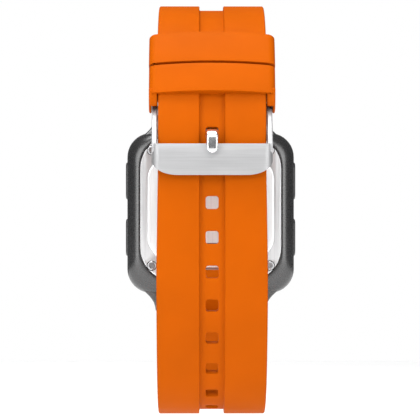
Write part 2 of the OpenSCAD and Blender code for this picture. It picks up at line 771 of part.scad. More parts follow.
module tongue_outline() {
    ri = tongue_bend;
    ro = ri + tongue_t;
    h = tongue_t / 2;
    c1 = [pin[0] + h + ri, cross_z + h + ri];
    c2 = [tongue_y - ri, cross_z - h - ri];
    translate([pin[0] - h, c1[1]]) square([tongue_t, pin[1] - c1[1]]);
    translate(c1) intersection() {
        difference() {
            circle(ro);
            circle(ri);
        }
        translate([-ro, -ro]) square(ro);
    }
    translate([c1[0] - eps, cross_z - h]) square([c2[0] - c1[0] + 2 * eps, tongue_t]);
    translate(c2) intersection() {
        difference() {
            circle(ro);
            circle(ri);
        }
        square(ro);
    }
    translate([tongue_y, tip_z + h]) square([tongue_t, c2[1] - tip_z - h + eps]);
    translate([tongue_y + h, tip_z + h]) circle(h);
    translate(pin) circle(eye_r - 0.05);
}

module buckle_tongue() {
    color([0.8, 0.8, 0.82]) difference() {
        across(-tongue_w / 2, tongue_w / 2) tongue_outline();
        rod(bore_r, -tongue_w, tongue_w, pin);
    }
}

// ---- Spring bars ----

// Half length of a bar's tube, for a bar whose points reach out to x
function tube_hl(x) = x - 3.3;

module bar_tube(x, at) {
    color([0.72, 0.73, 0.75]) difference() {
        rod(bar_r, -tube_hl(x), tube_hl(x), at);
        rod(tube_bore_r, -x, x, at);
    }
}

module bar_plunger(x, at) {
    flange_x = tube_hl(x) + plunger_travel + 0.15;
    color([0.68, 0.69, 0.71]) {
        rod(plunger_r, tube_hl(x) - 3, flange_x + 0.1, at);
        rod(bar_r - 0.05, flange_x, flange_x + flange_t, at);
        rod(point_r, flange_x + flange_t - 0.1, x, at);
    }
}

module bar_spring(x, at) {
    hl = tube_hl(x) - 3 - run_fit;
    color([0.7, 0.7, 0.72]) translate([-hl, at[0], at[1]]) rotate([0, 90, 0])
        coil(bar_spring_r, bar_wire_r, 2 * hl, 8);
}

lug_point_x = lug_x + 1.15;
buckle_point_x = buckle_hw - 0.05;
upper_bar = [-bar_d, bar_z];
lower_bar = [-bar_d, -bar_z];

module upper_bar_tube() { bar_tube(lug_point_x, upper_bar); }
module upper_bar_spring() { bar_spring(lug_point_x, upper_bar); }
module upper_bar_plunger_left() { mirror([1, 0, 0]) bar_plunger(lug_point_x, upper_bar); }
module upper_bar_plunger_right() { bar_plunger(lug_point_x, upper_bar); }
module lower_bar_tube() { bar_tube(lug_point_x, lower_bar); }
module lower_bar_spring() { bar_spring(lug_point_x, lower_bar); }
module lower_bar_plunger_left() { mirror([1, 0, 0]) bar_plunger(lug_point_x, lower_bar); }
module lower_bar_plunger_right() { bar_plunger(lug_point_x, lower_bar); }
module buckle_bar_tube() { bar_tube(buckle_point_x, pin); }
module buckle_bar_spring() { bar_spring(buckle_point_x, pin); }
module buckle_bar_plunger_left() { mirror([1, 0, 0]) bar_plunger(buckle_point_x, pin); }
module buckle_bar_plunger_right() { bar_plunger(buckle_point_x, pin); }
module button_upper_left() { button(-1, 1); }
module button_lower_left() { button(-1, -1); }
module button_upper_right() { button(1, 1); }
module button_lower_right() { button(1, -1); }
module button_clip_upper_left() { button_clip(-1, 1); }
module button_clip_lower_left() { button_clip(-1, -1); }
module button_clip_upper_right() { button_clip(1, 1); }
module button_clip_lower_right() { button_clip(1, -1); }
module button_spring_upper_left() { button_spring(-1, 1); }
module button_spring_lower_left() { button_spring(-1, -1); }
module button_spring_upper_right() { button_spring(1, 1); }
module button_spring_lower_right() { button_spring(1, -1); }

case_body();
top_bezel();
lens();
lens_gasket();
lcd_display();
backlight();
display_frame();
display_flex();
main_board();
gps_antenna();
shield_can();
processor();
battery();
buzzer();
case_back();
case_back_gasket();
case_back_screws();
charging_contacts();
contact_insulator();
tact_switches();
button_seals();
button_upper_left();
button_lower_left();
button_upper_right();
button_lower_right();
button_clip_upper_left();
button_clip_lower_left();
button_clip_upper_right();
button_clip_lower_right();
button_spring_upper_left();
button_spring_lower_left();
button_spring_upper_right();
button_spring_lower_right();
strap_buckle_side();
strap_hole_side();
keeper_free();
buckle_frame();
buckle_tongue();
upper_bar_tube();
upper_bar_spring();
upper_bar_plunger_left();
upper_bar_plunger_right();
lower_bar_tube();
lower_bar_spring();
lower_bar_plunger_left();
lower_bar_plunger_right();
buckle_bar_tube();
buckle_bar_spring();
buckle_bar_plunger_left();
buckle_bar_plunger_right();
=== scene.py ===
import json
import math

import bmesh
import bpy
from mathutils import Matrix, Vector


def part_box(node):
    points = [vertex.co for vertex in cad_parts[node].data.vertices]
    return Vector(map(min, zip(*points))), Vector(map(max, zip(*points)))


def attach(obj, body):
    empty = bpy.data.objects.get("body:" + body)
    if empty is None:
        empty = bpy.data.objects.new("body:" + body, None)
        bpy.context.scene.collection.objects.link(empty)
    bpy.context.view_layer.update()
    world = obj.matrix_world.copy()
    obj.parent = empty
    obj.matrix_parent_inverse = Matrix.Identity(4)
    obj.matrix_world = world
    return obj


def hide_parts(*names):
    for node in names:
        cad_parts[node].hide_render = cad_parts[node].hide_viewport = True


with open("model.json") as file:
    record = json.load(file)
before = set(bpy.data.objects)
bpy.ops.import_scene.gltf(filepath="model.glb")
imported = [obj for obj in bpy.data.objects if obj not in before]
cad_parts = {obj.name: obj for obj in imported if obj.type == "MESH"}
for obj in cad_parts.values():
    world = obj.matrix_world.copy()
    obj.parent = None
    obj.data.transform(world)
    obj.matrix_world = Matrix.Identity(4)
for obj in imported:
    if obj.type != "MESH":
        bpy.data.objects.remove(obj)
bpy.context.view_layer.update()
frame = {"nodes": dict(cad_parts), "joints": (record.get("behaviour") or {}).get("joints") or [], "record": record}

# Everything below is worked out in millimetres and made metres when a piece is finished.
MM = 0.001


def mm_box(node):
    low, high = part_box(node)
    return low / MM, high / MM


def joint_place(name):
    joint = next(j for j in frame["joints"] if j["name"] == name)
    return Vector(joint["pos_m"]) / MM


# ---- Camera ----

# The camera looks at the buckle from the wrist side, level with the middle of the watch.
EYE = Vector((2.36, 378, 0.75))
YAW = 0.329                       # degrees, which brings the case back to the middle

camera_data = bpy.data.cameras.new("camera")
camera_data.sensor_width = 36
camera_data.lens = 132
camera_data.clip_start = 0.01
camera = bpy.data.objects.new("camera", camera_data)
camera.location = EYE * MM
camera.rotation_euler = (math.radians(90), 0, math.radians(180 - YAW))
bpy.context.scene.collection.objects.link(camera)
bpy.context.scene.camera = camera


# ---- Materials ----

def shader(name, colour, rough, metal=0.0, coat=0.0, specular=0.5):
    """A material with a plain shader, its nodes and its links."""
    made = bpy.data.materials.new(name)
    made.use_nodes = True
    nodes = made.node_tree.nodes
    links = made.node_tree.links
    surface = nodes["Principled BSDF"]
    surface.inputs["Base Color"].default_value = (*colour, 1)
    surface.inputs["Roughness"].default_value = rough
    surface.inputs["Metallic"].default_value = metal
    surface.inputs["Coat Weight"].default_value = coat
    surface.inputs["Coat Roughness"].default_value = 0.12
    surface.inputs["Specular IOR Level"].default_value = specular
    made.diffuse_color = (*colour, 1)
    return made, nodes, links, surface


def grain(nodes, links, stretch, scale, detail=3.0):
    """A noise pattern in the object's own space, stretched along its grain. Scale is per metre."""
    where = nodes.new("ShaderNodeTexCoord")
    mapping = nodes.new("ShaderNodeMapping")
    mapping.inputs["Scale"].default_value = stretch
    noise = nodes.new("ShaderNodeTexNoise")
    noise.inputs["Scale"].default_value = scale
    noise.inputs["Detail"].default_value = detail
    links.new(where.outputs["Object"], mapping.inputs["Vector"])
    links.new(mapping.outputs["Vector"], noise.inputs["Vector"])
    return noise.outputs["Fac"]


def tint(nodes, links, surface, fac, dark, light):
    """The base colour moves between two close colours with a pattern."""
    ramp = nodes.new("ShaderNodeValToRGB")
    ramp.color_ramp.elements[0].position = 0.3
    ramp.color_ramp.elements[1].position = 0.7
    ramp.color_ramp.elements[0].color = (*dark, 1)
    ramp.color_ramp.elements[1].color = (*light, 1)
    links.new(fac, ramp.inputs["Fac"])
    links.new(ramp.outputs["Color"], surface.inputs["Base Color"])


def vary_roughness(nodes, links, surface, fac, low, high):
    spread = nodes.new("ShaderNodeMapRange")
    spread.inputs["To Min"].default_value = low
    spread.inputs["To Max"].default_value = high
    links.new(fac, spread.inputs["Value"])
    links.new(spread.outputs["Result"], surface.inputs["Roughness"])


def bump(nodes, links, surface, fac, depth_mm, strength=1.0):
    relief = nodes.new("ShaderNodeBump")
    relief.inputs["Strength"].default_value = strength
    relief.inputs["Distance"].default_value = depth_mm * MM
    links.new(fac, relief.inputs["Height"])
    links.new(relief.outputs["Normal"], surface.inputs["Normal"])


def moulded(name, colour, rough, depth_mm=0.006, coat=0.0, soft=0.0, specular=0.5):
    """Moulded plastic or rubber: a fine satin texture, and a faint drift of colour and gloss."""
    made, nodes, links, surface = shader(name, colour, rough, coat=coat, specular=specular)
    surface.inputs["Subsurface Weight"].default_value = soft
    surface.inputs["Subsurface Radius"].default_value = (0.0012, 0.0004, 0.0001)
    drift = grain(nodes, links, (1, 1, 1), 90, 2)
    tint(nodes, links, surface, drift, [c * 0.95 for c in colour], [min(c * 1.04, 1) for c in colour])
    fine = grain(nodes, links, (1, 1, 1), 3200, 4)
    vary_roughness(nodes, links, surface, fine, rough - 0.05, rough + 0.07)
    bump(nodes, links, surface, fine, depth_mm, 0.5)
    return made


def brushed(name, colour, rough, along, depth_mm=0.003):
    """Steel brushed along one axis, with hairlines in its gloss and relief."""
    made, nodes, links, surface = shader(name, colour, rough, metal=1)
    surface.inputs["Anisotropic"].default_value = 0.4
    stretch = [1.0, 1.0, 1.0]
    stretch["xyz".index(along)] = 0.02
    lines = grain(nodes, links, stretch, 5200, 3)
    tint(nodes, links, surface, lines, [c * 0.93 for c in colour], [min(c * 1.05, 1) for c in colour])
    vary_roughness(nodes, links, surface, lines, rough - 0.06, rough + 0.1)
    bump(nodes, links, surface, lines, depth_mm, 0.6)
    return made


def polished(name, colour, rough, metal=1.0):
    """Bright metal with faint handling haze."""
    made, nodes, links, surface = shader(name, colour, rough, metal=metal)
    haze = grain(nodes, links, (1, 1, 1), 450, 5)
    vary_roughness(nodes, links, surface, haze, rough * 0.7, rough * 1.5)
    tint(nodes, links, surface, haze, [c * 0.96 for c in colour], [min(c * 1.03, 1) for c in colour])
    return made


def clear(name, colour, rough):
    made, nodes, links, surface = shader(name, colour, rough)
    surface.inputs["Transmission Weight"].default_value = 1
    surface.inputs["IOR"].default_value = 1.5
    film = grain(nodes, links, (1, 1, 1), 120, 2)
    vary_roughness(nodes, links, surface, film, rough, rough + 0.03)
    return made


ORANGE = (0.4, 0.071, 0.0004)
SILICONE = moulded("orange_silicone", ORANGE, 0.52, 0.004, soft=0.03, specular=0.03)
CASE = moulded("case_plastic", (0.014, 0.014, 0.0145), 0.27, 0.0012, specular=1.0)
BUTTON = moulded("button_plastic", (0.010, 0.010, 0.011), 0.34, 0.003, specular=0.8)
BEZEL = moulded("bezel_plastic", (0.012, 0.012, 0.014), 0.22, 0.002, coat=0.4)
BLACK_RUBBER = moulded("black_rubber", (0.012, 0.012, 0.012), 0.65, 0.01)
BLACK_PLASTIC = moulded("black_plastic", (0.018, 0.018, 0.019), 0.4, 0.006)
WHITE_PLASTIC = moulded("white_plastic", (0.72, 0.72, 0.69), 0.45, 0.005)
BACK_STEEL = brushed("case_steel", (0.72, 0.725, 0.73), 0.34, "z")
CENTRE_STEEL = brushed("case_steel_bright", (0.96, 0.965, 0.97), 0.34, "z")
BUCKLE_STEEL = brushed("buckle_steel", (0.44, 0.44, 0.445), 0.5, "x", 0.0015)
TONGUE_STEEL = polished("tongue_steel", (0.85, 0.85, 0.86), 0.22)
BAR_STEEL = polished("bar_steel", (0.56, 0.56, 0.57), 0.25)
SCREW_STEEL = polished("screw_steel", (0.5, 0.5, 0.51), 0.3)
SPRING_STEEL = polished("spring_steel", (0.5, 0.5, 0.52), 0.22)
GOLD = polished("gold_contacts", (0.83, 0.6, 0.24), 0.15)
BRASS = polished("brass", (0.66, 0.45, 0.16), 0.3)
CAN_STEEL = brushed("tinned_steel", (0.6, 0.6, 0.61), 0.34, "x")
FOIL = brushed("battery_foil", (0.58, 0.59, 0.6), 0.42, "z")
BOARD = moulded("circuit_board", (0.008, 0.085, 0.028), 0.3, 0.01, coat=0.3)
FLEX = moulded("flex_film", (0.45, 0.19, 0.025), 0.3, 0.004)
CERAMIC = moulded("antenna_ceramic", (0.6, 0.53, 0.4), 0.4, 0.006)
LENS = clear("lens_glass", (0.97, 0.98, 0.98), 0.02)
DISPLAY = moulded("display_glass", (0.24, 0.27, 0.215), 0.24, 0.001)
INK = moulded("display_ink", (0.012, 0.014, 0.012), 0.3, 0.001)

NODE_FINISH = {
    "orange_silicone": SILICONE, "case_plastic": CASE, "button_plastic": BUTTON, "bezel_plastic": BEZEL,
    "lens_glass": LENS, "display_glass": DISPLAY, "white_plastic": WHITE_PLASTIC, "flex_film": FLEX,
    "circuit_board": BOARD, "antenna_ceramic": CERAMIC, "tinned_steel": CAN_STEEL,
    "black_plastic": BLACK_PLASTIC, "battery_foil": FOIL, "brass": BRASS, "case_steel": BACK_STEEL,
    "screw_steel": SCREW_STEEL, "buckle_steel": BUCKLE_STEEL, "tongue_steel": TONGUE_STEEL,
    "bar_steel": BAR_STEEL, "spring_steel": SPRING_STEEL, "gold_contacts": GOLD,
    "black_rubber": BLACK_RUBBER,
}
for part in frame["record"]["subparts"]:
    materials = frame["nodes"][part["node"]].data.materials
    materials.clear()
    materials.append(NODE_FINISH[part["material_slot"]])


# ---- Mesh helpers ----

def only(kind, geometry):
    return [g for g in geometry if isinstance(g, kind)]


SHARP = 32                        # faces that meet at more than these degrees keep a crease


def piece(bm, name, material, body, stands_for=(), sharp=SHARP):
    """Finishes a mesh in millimetres as a smooth-shaded piece that rides on a body."""
    bmesh.ops.remove_doubles(bm, verts=bm.verts, dist=0.0005)
    bmesh.ops.recalc_face_normals(bm, faces=bm.faces)
    bmesh.ops.scale(bm, vec=(MM, MM, MM), verts=bm.verts)
    mesh = bpy.data.meshes.new(name)
    bm.to_mesh(mesh)
    bm.free()
    mesh.shade_smooth()
    mesh.set_sharp_from_angle(angle=math.radians(sharp))
    mesh.materials.append(material)
    made = bpy.data.objects.new(name, mesh)
    bpy.context.scene.collection.objects.link(made)
    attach(made, body)
    if stands_for:
        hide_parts(*stands_for)
    return made


def ease(bm, edges, size, segments=3, affect="EDGES"):
    """Rounds edges or corners."""
    return bmesh.ops.bevel(bm, geom=list(edges), offset=size, offset_type="OFFSET", segments=segments,
                           profile=0.5, affect=affect, clamp_overlap=True, material=-1)


def folded(edge, least):
    """Whether two faces meet at this edge at more than an angle."""
    return len(edge.link_faces) == 2 and edge.calc_face_angle(0) > math.radians(least)


def corner_edges(bm, least=40, wanted=None):
    """Edges where the skin folds, kept to the wanted ones."""
    return [edge for edge in bm.edges if folded(edge, least) and (wanted is None or wanted(edge))]


def rounded_face(bm, width, height, radius, segments, matrix):
    """A flat face with round corners, made in its own XY plane and then placed."""
    half = ((1, 1), (-1, 1), (-1, -1), (1, -1))
    verts = [bm.verts.new((sx * width / 2, sy * height / 2, 0)) for sx, sy in half]
    bm.faces.new(verts)
    rounded = bmesh.ops.bevel(bm, geom=verts, offset=radius, offset_type="OFFSET", segments=segments,
                              profile=0.5, affect="VERTICES", clamp_overlap=True, material=-1)
    corners = only(bmesh.types.BMVert, rounded["verts"])
    face = next(f for f in corners[0].link_faces)
    bmesh.ops.transform(bm, matrix=matrix, verts=face.verts)
    return face


def loft(bm, levels, segments=8, cap=(True, True)):
    """Joins rounded outlines, each (width, height, radius, matrix), into one skin."""
    rings = []
    for width, height, radius, matrix in levels:
        face = rounded_face(bm, width, height, radius, segments, matrix)
        rings.append(list(face.edges))
        last = len(rings) == len(levels)
        keep = (len(rings) == 1 and cap[0]) or (last and cap[1])
        if not keep:
            bmesh.ops.delete(bm, geom=[face], context="FACES_ONLY")
    for low, high in zip(rings, rings[1:]):
        bmesh.ops.bridge_loops(bm, edges=low + high)


def rod(bm, radius, length, matrix, segments):
    """A plain round bar along the Z of its matrix."""
    made = bmesh.ops.create_cone(bm, cap_ends=True, segments=segments, radius1=radius, radius2=radius,
                                 depth=length, matrix=matrix)
    return made["verts"]


def ring_edges(edges, verts):
    """The edges that join these vertices to one another."""
    return [e for e in edges if e.verts[0] in verts and e.verts[1] in verts]


def start_ring(bm, outline, matrix):
    """A closed ring of edges through the (across, outwards) points of an outline."""
    verts = [bm.verts.new(matrix @ Vector((u, v, 0))) for u, v in outline]
    return verts, [bm.edges.new(ends) for ends in zip(verts, verts[1:] + verts[:1])]


def next_ring(bm, edges, move):
    """Extrudes an open ring of edges into a wall and moves the new ring."""
    made = bmesh.ops.extrude_edge_only(bm, edges=edges)["geom"]
    verts = only(bmesh.types.BMVert, made)
    bmesh.ops.transform(bm, matrix=move, verts=verts)
    return verts, ring_edges(only(bmesh.types.BMEdge, made), set(verts))


def pull(bm, face, move):
    """Extrudes a face and moves the new one."""
    made = bmesh.ops.extrude_face_region(bm, geom=[face])["geom"]
    bmesh.ops.translate(bm, vec=move, verts=only(bmesh.types.BMVert, made))
    return made


def turned(place, degrees, axis):
    """A matrix at a place, turned about an axis."""
    return Matrix.Translation(place) @ Matrix.Rotation(math.radians(degrees), 4, axis)


def facing_back(depth, rise=0.0):
    """A plane across the watch at a depth from the case back, with its own Y up along Z."""
    return turned((0, -depth, rise), 90, "X")


def facing_up(x, y, z):
    return Matrix.Translation((x, y, z))


def facing_side(x, y, z):
    """A plane across X, with its own X along Y and its own Y along Z."""
    turn = Matrix(((0, 0, 1, 0), (1, 0, 0, 0), (0, 1, 0, 0), (0, 0, 0, 1)))
    return Matrix.Translation((x, y, z)) @ turn


def carve(target, cutters):
    """Cuts closed shapes, given as bmeshes in millimetres, out of a finished piece."""
    for cutter in cutters:
        bmesh.ops.recalc_face_normals(cutter, faces=cutter.faces)
        bmesh.ops.scale(cutter, vec=(MM, MM, MM), verts=cutter.verts)
        mesh = bpy.data.meshes.new("cutter")
        cutter.to_mesh(mesh)
        cutter.free()
        shape = bpy.data.objects.new("cutter", mesh)
        bpy.context.scene.collection.objects.link(shape)
        cut = target.modifiers.new("cut", "BOOLEAN")
        cut.operation = "DIFFERENCE"
        cut.solver = "EXACT"
        cut.object = shape
        bpy.context.view_layer.update()
        graph = bpy.context.evaluated_depsgraph_get()
        carved = bpy.data.meshes.new_from_object(target.evaluated_get(graph))
        target.modifiers.clear()
        target.data = carved
        bpy.data.objects.remove(shape)
    target.data.set_sharp_from_angle(angle=math.radians(SHARP))


# ---- Route of the strap ----

tail_low, tail_high = mm_box("strap_hole_side")
base_high = mm_box("strap_buckle_side")[1]
case_low, case_high = mm_box("case_body")
PIN = joint_place("buckle_pivot")
TOP = joint_place("keeper_slide")

STRAP_W = tail_high.x - tail_low.x
NECK_W = STRAP_W - 0.7            # width of the tail where it passes the buckle
TAIL_T = 2.7
BASE_T = 2.9
LAP = TAIL_T + 0.2                # from the tail's outer face to the base's
CHANNEL_W = 5.5
CHANNEL_D = 1.0
HOLE_W = 2.75
HOLE_PITCH = 7.5
HOLES = 10
STRAP_EDGE = 0.42                 # rounding of the strap's long edges
CHANNEL_EDGE = 0.2
BARREL_R = 2.3                    # the strap's round ends, about the lug bars
BAY_R = 2.6
BAY_W = 24.3
TIP_R = 7.0
BACK_R = 50.0
LOWER_R = 57.5
BOTTOM_R = 18.65
BOTTOM_TURN = 26.0
TOP_TURN = 22.0
TIP_TURN = 36.5
PIN_TURN = 10.9
LUG_Y = -6.8
LUG_Z = case_high.z - 3.4
TAIL_Y = tail_high.y
BASE_R = base_high.z - TOP.z
TAIL_TOP_R = BASE_R + LAP


def polar(centre, radius, degrees):
    turn = math.radians(degrees)
    return Vector((0, centre.y + radius * math.cos(turn), centre.z + radius * math.sin(turn)))


UPPER = Vector((0, TAIL_Y - BACK_R, LUG_Z - 6.7))
LOWER = Vector((0, TAIL_Y - LOWER_R, 11 - LUG_Z))
BOTTOM = polar(LOWER, LOWER_R - BOTTOM_R, -BOTTOM_TURN)
HEEL_R = BOTTOM.y - LUG_Y + 2.45
HEEL = Vector((0, BOTTOM.y, BOTTOM.z + HEEL_R - BOTTOM_R))
HEEL_END = 180 - math.degrees(math.asin((LUG_Z + HEEL.z) / HEEL_R))


class Route:
    """A strap's outer face seen from the side, as bends and straight runs, measured along its length."""

    def __init__(self):
        self.runs = []
        self.length = 0.0

    def bend(self, centre, radius, start, end):
        span = radius * math.radians(abs(end - start))
        self.runs.append((self.length, span, lambda t: (polar(centre, radius, start + (end - start) * t),
                                                       start + (end - start) * t)))
        self.length += span
        return self

    def straight(self, a, b, angle):
        span = (b - a).length
        self.runs.append((self.length, span, lambda t: (a.lerp(b, t), angle)))
        self.length += span
        return self

    def place(self, s):
        """The matrix at a distance along: X across, Y outwards, Z along the strap."""
        start, span, at = next(r for r in reversed(self.runs) if s >= r[0] or r is self.runs[0])
        point, angle = at((s - start) / span)
        return turned(point, angle, "X")


tail_route = (Route()
              .bend(TOP, TAIL_TOP_R, TIP_TURN, TOP_TURN)
              .bend(UPPER, BACK_R, TOP_TURN, 0)
              .straight(Vector((0, TAIL_Y, UPPER.z)), Vector((0, TAIL_Y, LOWER.z)), 0)
              .bend(LOWER, LOWER_R, 0, -BOTTOM_TURN)
              .bend(BOTTOM, BOTTOM_R, -BOTTOM_TURN, -90)
              .bend(HEEL, HEEL_R, -90, -HEEL_END))
base_route = (Route()
              .bend(UPPER, BACK_R - LAP, PIN_TURN, TOP_TURN)
              .bend(TOP, BASE_R, TOP_TURN, 180)
              .straight(Vector((0, TOP.y - BASE_R, TOP.z)), Vector((0, TOP.y - BASE_R, LUG_Z)), 180))
FIRST_HOLE = tail_route.runs[1][0] + BACK_R * math.radians(TOP_TURN - 3.5)
HOLE_PLACES = [FIRST_HOLE + i * HOLE_PITCH for i in range(HOLES)]


def stations(route, keys, step):
    """Distances along a route: every key one, and even steps no longer than step between them."""
    found = [0.0]
    for key in sorted(keys) + [route.length]:
        gap = key - found[-1]
        if gap < 0.001:
            continue
        over_hole = abs(gap - HOLE_W) < 0.15
        count = 1 if over_hole else max(1, math.ceil(gap / step))
        found += [found[-1] + gap / count * (i + 1) for i in range(count)]
    return found


def sweep(bm, outline, route, along, half_width=None):
    """Carries a closed outline along a route. Wide points follow half_width."""
    here = route.place(along[0])
    verts, edges = start_ring(bm, outline, here)
    wide = max(abs(u) for u, _ in outline) * 0.25

    def fit(group, s):
        for v in group:
            if half_width and abs(v.co.x) > wide:
                v.co.x = math.copysign(half_width(s), v.co.x)

    fit(verts, along[0])
    first = edges
    for s in along[1:]:
        there = route.place(s)
        verts, edges = next_ring(bm, edges, there @ here.inverted())
        fit(verts, s)
        here = there
    return first, edges


def strap_outline(thickness, hole_w=None):
    half, groove = STRAP_W / 2, CHANNEL_W / 2
    cut = [(hole_w / 2, 1), (-hole_w / 2, 1)] if hole_w else []
    top = [(half, 0), (groove, 0), (groove, -CHANNEL_D)]
    top += [(u, -CHANNEL_D) for u, _ in cut]
    top += [(-groove, -CHANNEL_D), (-groove, 0), (-half, 0), (-half, -thickness)]
    return top + [(u, -thickness) for u, _ in reversed(cut)] + [(half, -thickness)]


def open_holes(bm, route, places, outer, inner):
    """Opens a square hole at each place, with round corners and eased rims."""
    rims = []
    for s in places:
        back = route.place(s).inverted()
        found = []
        for face in bm.faces:
            spot = back @ face.calc_center_median()
            if abs(spot.x) < 0.4 and abs(spot.z) < 0.4 and inner - 0.3 < spot.y < outer + 0.3:
                found.append(face)
        if len(found) != 2:
            raise RuntimeError(f"hole at {s:.2f} has {len(found)} faces")
        loops = [list(f.edges) for f in found]
        bmesh.ops.delete(bm, geom=found, context="FACES_ONLY")
        walls = bmesh.ops.bridge_loops(bm, edges=loops[0] + loops[1])
        rims += loops[0] + loops[1]
        through = [e for e in walls["edges"] if e not in loops[0] and e not in loops[1]]
        ease(bm, through, 0.55, 4)
    return rims


def on_line(x0, x1):
    """Picks edges that run along the strap between two distances from its middle."""
    def pick(edge):
        a, b = (abs(v.co.x) for v in edge.verts)
        return x0 < min(a, b) and max(a, b) < x1 and abs(a - b) < 0.6
    return pick


def round_long_edges(bm, beyond):
    """Rounds the strap's outer edges, past a distance from its middle, and the channel's edges."""
    ease(bm, corner_edges(bm, 40, on_line(beyond, STRAP_W / 2 + 1)), STRAP_EDGE, 4)
    ease(bm, corner_edges(bm, 40, on_line(CHANNEL_W / 2 - 0.15, CHANNEL_W / 2 + 0.15)), CHANNEL_EDGE, 3)


def tail_half(s):
    """Half the tail's width: a round tip, a neck through the buckle, then the full width."""
    neck, full = NECK_W / 2, STRAP_W / 2
    if s < TIP_R:
        return neck - TIP_R + math.sqrt(TIP_R ** 2 - (TIP_R - s) ** 2) + 0.001
    widen = (s - HOLE_PLACES[1]) / (HOLE_PLACES[4] - HOLE_PLACES[1])
    return neck + (full - neck) * min(max(widen, 0), 1)


def make_tail():
    bm = bmesh.new()
    edges_of_holes = [s + d for s in HOLE_PLACES for d in (-HOLE_W / 2, HOLE_W / 2)]
    tip_steps = [0.25, 0.7, 1.4, 2.4, 3.8, 5.4, TIP_R]
    along = stations(tail_route, edges_of_holes + tip_steps, 1.3)
    first, last = sweep(bm, strap_outline(TAIL_T, HOLE_W), tail_route, along, tail_half)
    open_holes(bm, tail_route, HOLE_PLACES, -CHANNEL_D, -TAIL_T)
    for ring in (first, last):
        bmesh.ops.contextual_create(bm, geom=ring)
    rims = [e for e in corner_edges(bm, 40) if all(abs(v.co.x) < HOLE_W / 2 + 0.05 for v in e.verts)
            and e.calc_length() < HOLE_W]
    ease(bm, rims, 0.1, 2)
    round_long_edges(bm, 4.5)
    barrel(bm, STRAP_W, Vector((0, LUG_Y, -LUG_Z)), BARREL_R)
    root_tab(bm)
    return piece(bm, "strap_hole_side_skin", SILICONE, "watch", ["strap_hole_side"])


def root_tab(bm):
    """The tab at the lower strap root, which covers the case's edge and laps over its back."""
    edge = 1.1 - LUG_Z
    tip = plate_low.z + 0.85 + PAD_SHORT - 0.3
    lip = LUG_Y + 3.75
    root = [polar(HEEL, HEEL_R - 1.6, a - HEEL_END) for a in (9, 2)]
    outline = [(-0.2, tip), (1.3, tip), (1.3, tip - 3), (-0.2, -LUG_Z)]
    outline += [(p.y, p.z) for p in root]
    outline += [(lip, -LUG_Z - 0.4), (lip, edge - 0.1), (-1.6, edge + 0.45), (-0.2, edge + 0.9)]
    made = prism(bm, outline, 2 - STRAP_W / 2, STRAP_W / 2 - 2)
    ease(bm, edges_among(made), 0.3, 3)


def barrel(bm, width, centre, radius, eased=0.3):
    """A round strap end around a bar."""
    verts = rod(bm, radius, width, turned(centre, 90, "Y"), 40)
    rim = {e for v in verts for e in v.link_edges if e.calc_face_angle(0) > 1}
    ease(bm, rim, eased, 3)


def make_base():
    bm = bmesh.new()
    swell = base_route.runs[1][0]

    def half(s):
        return NECK_W / 2 if s < swell * 0.6 else STRAP_W / 2

    along = stations(base_route, [swell * 0.6, swell * 0.6 + 0.1], 1.6)
    first, last = sweep(bm, strap_outline(BASE_T), base_route, along, half)
    for ring in (first, last):
        bmesh.ops.contextual_create(bm, geom=ring)
    round_long_edges(bm, 11)
    barrel(bm, STRAP_W, Vector((0, LUG_Y, LUG_Z)), BARREL_R)
    for side in (-1, 1):
        flank = (NECK_W - 3) / 2
        barrel(bm, flank, PIN + Vector((side * (NECK_W - flank) / 2, 0, 0)), BASE_T / 2, 0.15)
    return piece(bm, "strap_buckle_side_skin", SILICONE, "watch", ["strap_buckle_side"])


def crowned(half, low, high, corner, drop):
    """A rounded outline, highest in the middle of its top."""
    points = []

    def arc(x, y, radius, start):
        for i in range(7):
            turn = math.radians(start + 15 * i)
            points.append((x + radius * math.cos(turn), y + radius * math.sin(turn)))

    flat = half - corner
    edge = high - drop * (flat / half) ** 2
    arc(flat, low + corner / 2, corner / 2, 270)
    arc(flat, edge - corner, corner, 0)
    points[:] = [(u + (corner / 2 if v < low + corner and u > 0 else 0), v) for u, v in points]
    for i in range(1, 12):
        u = flat * (1 - i / 6)
        points.append((u, high - drop * (u / half) ** 2))
    arc(-flat, edge - corner, corner, 90)
    arc(-flat - corner / 2, low + corner / 2, corner / 2, 180)
    return points


def hoop(bm, route, outer, inner, bow=0.4):
    """A band round the strap between two outlines, whose ends sag a little along the strap."""
    along = [route.length * i / 8 for i in range(9)]
    ends = [sweep(bm, outline, route, along) for outline in (outer, inner)]
    for outer_ring, inner_ring in zip(*ends):
        bmesh.ops.bridge_loops(bm, edges=list(outer_ring) + list(inner_ring))
    ease(bm, corner_edges(bm, 50), 0.32, 3)
    half = max(u for u, _ in outer)
    down = route.place(route.length / 2).to_3x3() @ Vector((0, 0, -bow))
    for v in bm.verts:
        v.co += down * (v.co.x / half) ** 2


def make_free_keeper():
    bm = bmesh.new()
    start = TOP_TURN - 1.1
    ring = Route().bend(TOP, TAIL_TOP_R, start, start + math.degrees(7.5 / (TAIL_TOP_R + 1.4)))
    half = STRAP_W / 2 + 0.3
    hoop(bm, ring, crowned(half + 1.4, -LAP - BASE_T - 1.45, 1.5, 1.7, 0.7),
         crowned(half, -LAP - BASE_T - 0.25, 0.25, 0.3, 0))
    return piece(bm, "keeper_free_skin", SILICONE, "keeper", ["keeper_free"])


def make_fixed_keeper():
    bm = bmesh.new()
    ring = Route().bend(UPPER, BACK_R, 13.6, TOP_TURN - 1.3)
    half = PIN_HALF + 0.65
    hoop(bm, ring, crowned(half, -LAP - BASE_T - 0.3, 1.5, 1.7, 0.7),
         crowned(NECK_W / 2 + 0.25, -LAP, 0.25, 0.3, 0))
    ears(bm, half)
    return piece(bm, "keeper_fixed", SILICONE, "watch")


